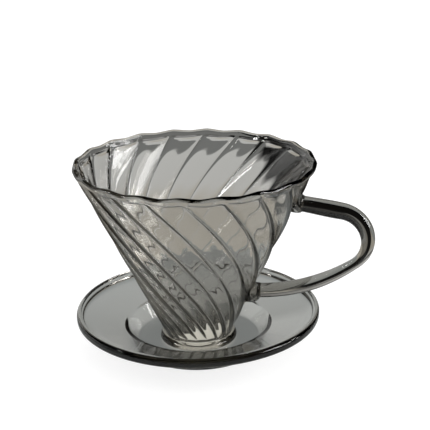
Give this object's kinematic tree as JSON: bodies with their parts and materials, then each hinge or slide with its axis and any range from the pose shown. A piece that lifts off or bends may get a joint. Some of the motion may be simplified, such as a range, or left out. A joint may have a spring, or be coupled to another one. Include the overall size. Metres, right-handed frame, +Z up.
{
  "type": "pour over coffee dripper",
  "caption": "Smoke-tinted glass pour-over coffee dripper: swirl-fluted cone with a wavy lip, glass-rod ear handle, and a stepped saucer flange that sits on a server or cup.",
  "frame": {"origin": "on the cone's axis at the underside of the flat base, where the outlet hole opens", "axes": "+Z up along the outlet and cone axis, +X towards the handle"},
  "size_m": [0.1463, 0.12, 0.0949],
  "materials": {
    "cone_glass": "fire-polished smoke-grey glass",
    "tube_glass": "clear smoke-grey glass",
    "saucer_glass": "smooth smoke-grey glass",
    "rod_glass": "drawn smoke-grey glass rod",
    "weld_glass": "flame-worked smoke-grey glass"
  },
  "bodies": {
    "root": {"cone": "cone_glass", "outlet_tube": "tube_glass", "outlet_collar": "weld_glass", "saucer": "saucer_glass", "handle": "rod_glass", "upper_handle_weld": "weld_glass", "lower_handle_weld": "weld_glass"}
  },
  "joints": []
}
